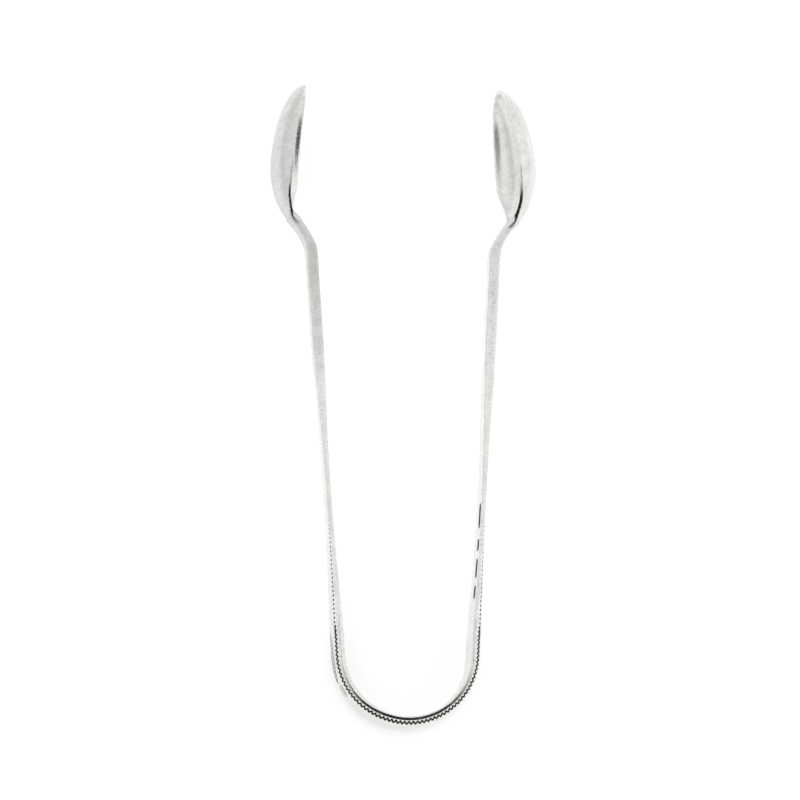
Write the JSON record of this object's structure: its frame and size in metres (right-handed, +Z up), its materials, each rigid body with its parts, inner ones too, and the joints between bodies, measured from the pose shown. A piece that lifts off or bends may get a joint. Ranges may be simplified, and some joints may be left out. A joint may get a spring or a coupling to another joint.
{
  "type": "ice tongs",
  "caption": "Silver spring tongs: a bent bow joins tapering arms that end in facing spoon bowls, squeezed by hand to pick up ice or lump sugar.",
  "frame": {"origin": "centre of the bounding box, on the table that the tongs lie on", "axes": "+Z up from the table, with the tongs lying on their side; +Y from the bow towards the bowls; the tongs are the same on the -X and +X sides"},
  "size_m": [0.058, 0.1411, 0.0177],
  "materials": {
    "bow_silver": "satin",
    "arm_silver": "satin",
    "bowl_silver": "satin"
  },
  "bodies": {
    "bow_body": {"bow": "bow_silver"},
    "left_side": {"left_arm": "arm_silver", "left_bowl": "bowl_silver"},
    "right_side": {"right_arm": "arm_silver", "right_bowl": "bowl_silver"}
  },
  "joints": [
    {"name": "left_squeeze", "type": "hinge", "parent": "bow_body", "child": "left_side", "pos_m": [-0.00963, -0.0634, 0.00545], "axis": [0, 0.0297, -0.9996], "range_deg": [0, 8.8], "stiffness_Nm_per_rad": 4.5, "deforming": ["bow"]},
    {"name": "right_squeeze", "type": "hinge", "parent": "bow_body", "child": "right_side", "pos_m": [0.00963, -0.0634, 0.00545], "axis": [0, -0.0297, 0.9996], "range_deg": [0, 8.8], "stiffness_Nm_per_rad": 4.5, "deforming": ["bow"]}
  ],
  "couplings": [
    {"joint": "right_squeeze", "follows": "left_squeeze", "ratio": 1}
  ]
}
